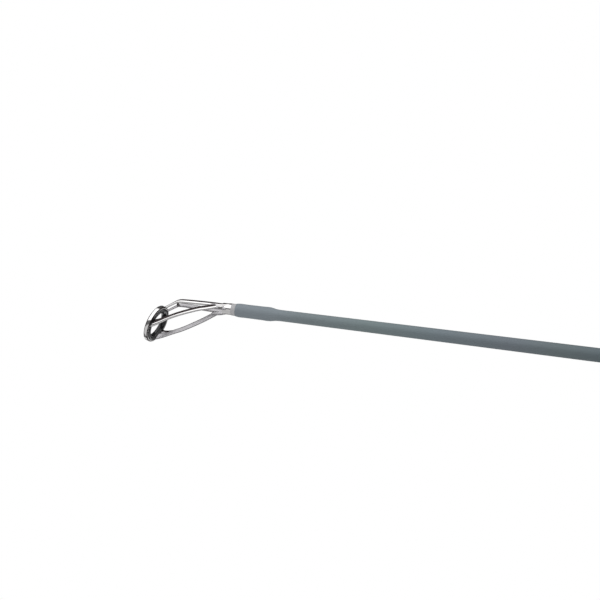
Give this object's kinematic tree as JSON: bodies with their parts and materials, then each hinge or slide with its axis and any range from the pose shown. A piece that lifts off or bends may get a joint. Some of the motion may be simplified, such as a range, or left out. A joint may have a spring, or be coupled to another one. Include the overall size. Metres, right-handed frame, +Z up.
{
  "type": "spinning rod and reel",
  "caption": "Spinning rod with a painted take-down blank, stamped steel line guides with ceramic rings, foam grips and a spinning reel with a folding bail.",
  "frame": {"origin": "centre of the butt's end face, on the rod's axis", "axes": "+X along the rod to the tip, +Z up, away from the reel and the line guides, +Y to the crank's side"},
  "size_m": [1.6793, 0.1046, 0.1441],
  "materials": {
    "polished_steel": "polished stainless steel",
    "ceramic": "black glossy ceramic",
    "sage_paint": "matt grey-green paint on the blank",
    "thread_wrap": "thread under clear varnish",
    "graphite": "bare graphite spigot",
    "foam_grip": "closed-cell foam grip",
    "seat_plastic": "satin moulded reel seat",
    "cap_rubber": "rubber cap",
    "reel_paint": "satin grey-green paint",
    "reel_dark": "satin dark paint",
    "spool_metal": "anodised aluminium",
    "spool_edge": "polished machined edge",
    "bearing_steel": "ground bearing steel",
    "brass": "machined brass",
    "die_cast": "die-cast gear metal",
    "washer_felt": "carbon-fibre drag washers with steel washers between"
  },
  "bodies": {
    "butt_section": {"blank_butt": "sage_paint", "ferrule_spigot": "graphite", "guide_5_frame": "polished_steel", "guide_5_ring": "ceramic", "butt_section_wraps": "thread_wrap", "winding_check": "polished_steel", "hook_keeper": "polished_steel", "fore_grip": "foam_grip", "seat_tube": "seat_plastic", "fixed_hood": "seat_plastic", "grip_collar": "polished_steel", "rear_grip": "foam_grip", "butt_cap": "cap_rubber", "reel_body": "reel_paint", "side_cover": "reel_dark", "cover_screws": "bearing_steel", "drive_bearings": "bearing_steel", "pinion_bearing": "bearing_steel", "one_way_clutch": "brass", "shaft_cap": "reel_dark"},
    "tip_section": {"tip_guide_frame": "polished_steel", "tip_guide_tube": "polished_steel", "tip_guide_ring": "ceramic", "tip_guide_wrap": "thread_wrap", "blank_tip": "sage_paint", "guide_1_frame": "polished_steel", "guide_1_ring": "ceramic", "guide_2_frame": "polished_steel", "guide_2_ring": "ceramic", "guide_3_frame": "polished_steel", "guide_3_ring": "ceramic", "guide_4_frame": "polished_steel", "guide_4_ring": "ceramic", "tip_section_wraps": "thread_wrap"},
    "sliding_hood": {"sliding_hood": "seat_plastic"},
    "lock_nut": {"lock_nut": "seat_plastic"},
    "crank": {"drive_shaft": "bearing_steel", "drive_gear": "die_cast", "crank_arm": "reel_dark", "crank_screw": "polished_steel", "knob_pin": "bearing_steel"},
    "crank_knob": {"crank_knob": "foam_grip"},
    "rotor": {"pinion_gear": "brass", "rotor": "reel_paint", "rotor_nut": "brass"},
    "bail": {"bail_arm": "spool_metal", "bail_bracket": "spool_metal", "bail_wire": "polished_steel", "roller_screw": "polished_steel"},
    "line_roller": {"line_roller": "brass"},
    "main_shaft": {"main_shaft": "bearing_steel", "crosswind_block": "reel_dark", "drag_washers": "washer_felt"},
    "oscillation_gear": {"oscillation_gear": "die_cast"},
    "spool": {"spool": "spool_metal", "spool_lip": "spool_edge"},
    "drag_knob": {"drag_knob": "reel_dark"},
    "anti_reverse_lever": {"anti_reverse_lever": "reel_dark"}
  },
  "joints": [
    {"name": "ferrule_pull", "type": "slide", "parent": "butt_section", "child": "tip_section", "axis": [1, 0, 0], "range_m": [0, 0.055]},
    {"name": "hood_slide", "type": "slide", "parent": "butt_section", "child": "sliding_hood", "axis": [-1, 0, 0], "range_m": [0, 0.0105]},
    {"name": "nut_turn", "type": "hinge", "parent": "sliding_hood", "child": "lock_nut", "pos_m": [0.2145, 0, 0], "axis": [-1, 0, 0], "range_deg": [0, 2520]},
    {"name": "crank_turn", "type": "hinge", "parent": "butt_section", "child": "crank", "pos_m": [0.262, 0, -0.069], "axis": [0, 1, 0], "continuous": true},
    {"name": "knob_spin", "type": "hinge", "parent": "crank", "child": "crank_knob", "pos_m": [0.262, 0.05, -0.119], "axis": [0, 1, 0], "continuous": true},
    {"name": "rotor_turn", "type": "hinge", "parent": "butt_section", "child": "rotor", "pos_m": [0.262, 0, -0.062], "axis": [1, 0, 0], "continuous": true},
    {"name": "bail_flip", "type": "hinge", "parent": "rotor", "child": "bail", "pos_m": [0.326, 0, -0.062], "axis": [0, -1, 0], "range_deg": [0, 80]},
    {"name": "roller_spin", "type": "hinge", "parent": "bail", "child": "line_roller", "pos_m": [0.33789, 0.0303, -0.07617], "axis": [0, 1, 0], "continuous": true},
    {"name": "shaft_stroke", "type": "slide", "parent": "butt_section", "child": "main_shaft", "axis": [1, 0, 0], "range_m": [-0.004, 0.004]},
    {"name": "oscillation_turn", "type": "hinge", "parent": "butt_section", "child": "oscillation_gear", "pos_m": [0.2501, 0.0064, -0.0675], "axis": [0, 1, 0], "continuous": true},
    {"name": "drag_slip", "type": "hinge", "parent": "main_shaft", "child": "spool", "pos_m": [0.322, 0, -0.062], "axis": [1, 0, 0], "continuous": true},
    {"name": "drag_adjust", "type": "hinge", "parent": "main_shaft", "child": "drag_knob", "pos_m": [0.335, 0, -0.062], "axis": [1, 0, 0], "range_deg": [-360, 360]},
    {"name": "anti_reverse_switch", "type": "hinge", "parent": "butt_section", "child": "anti_reverse_lever", "pos_m": [0.2242, 0, -0.066], "axis": [1, 0, 0], "range_deg": [0, 40]}
  ],
  "couplings": [
    {"joint": "hood_slide", "follows": "nut_turn", "m_per_rad": 0.00023873},
    {"joint": "rotor_turn", "follows": "crank_turn", "ratio": 5},
    {"joint": "oscillation_turn", "follows": "crank_turn", "ratio": -0.5}
  ]
}
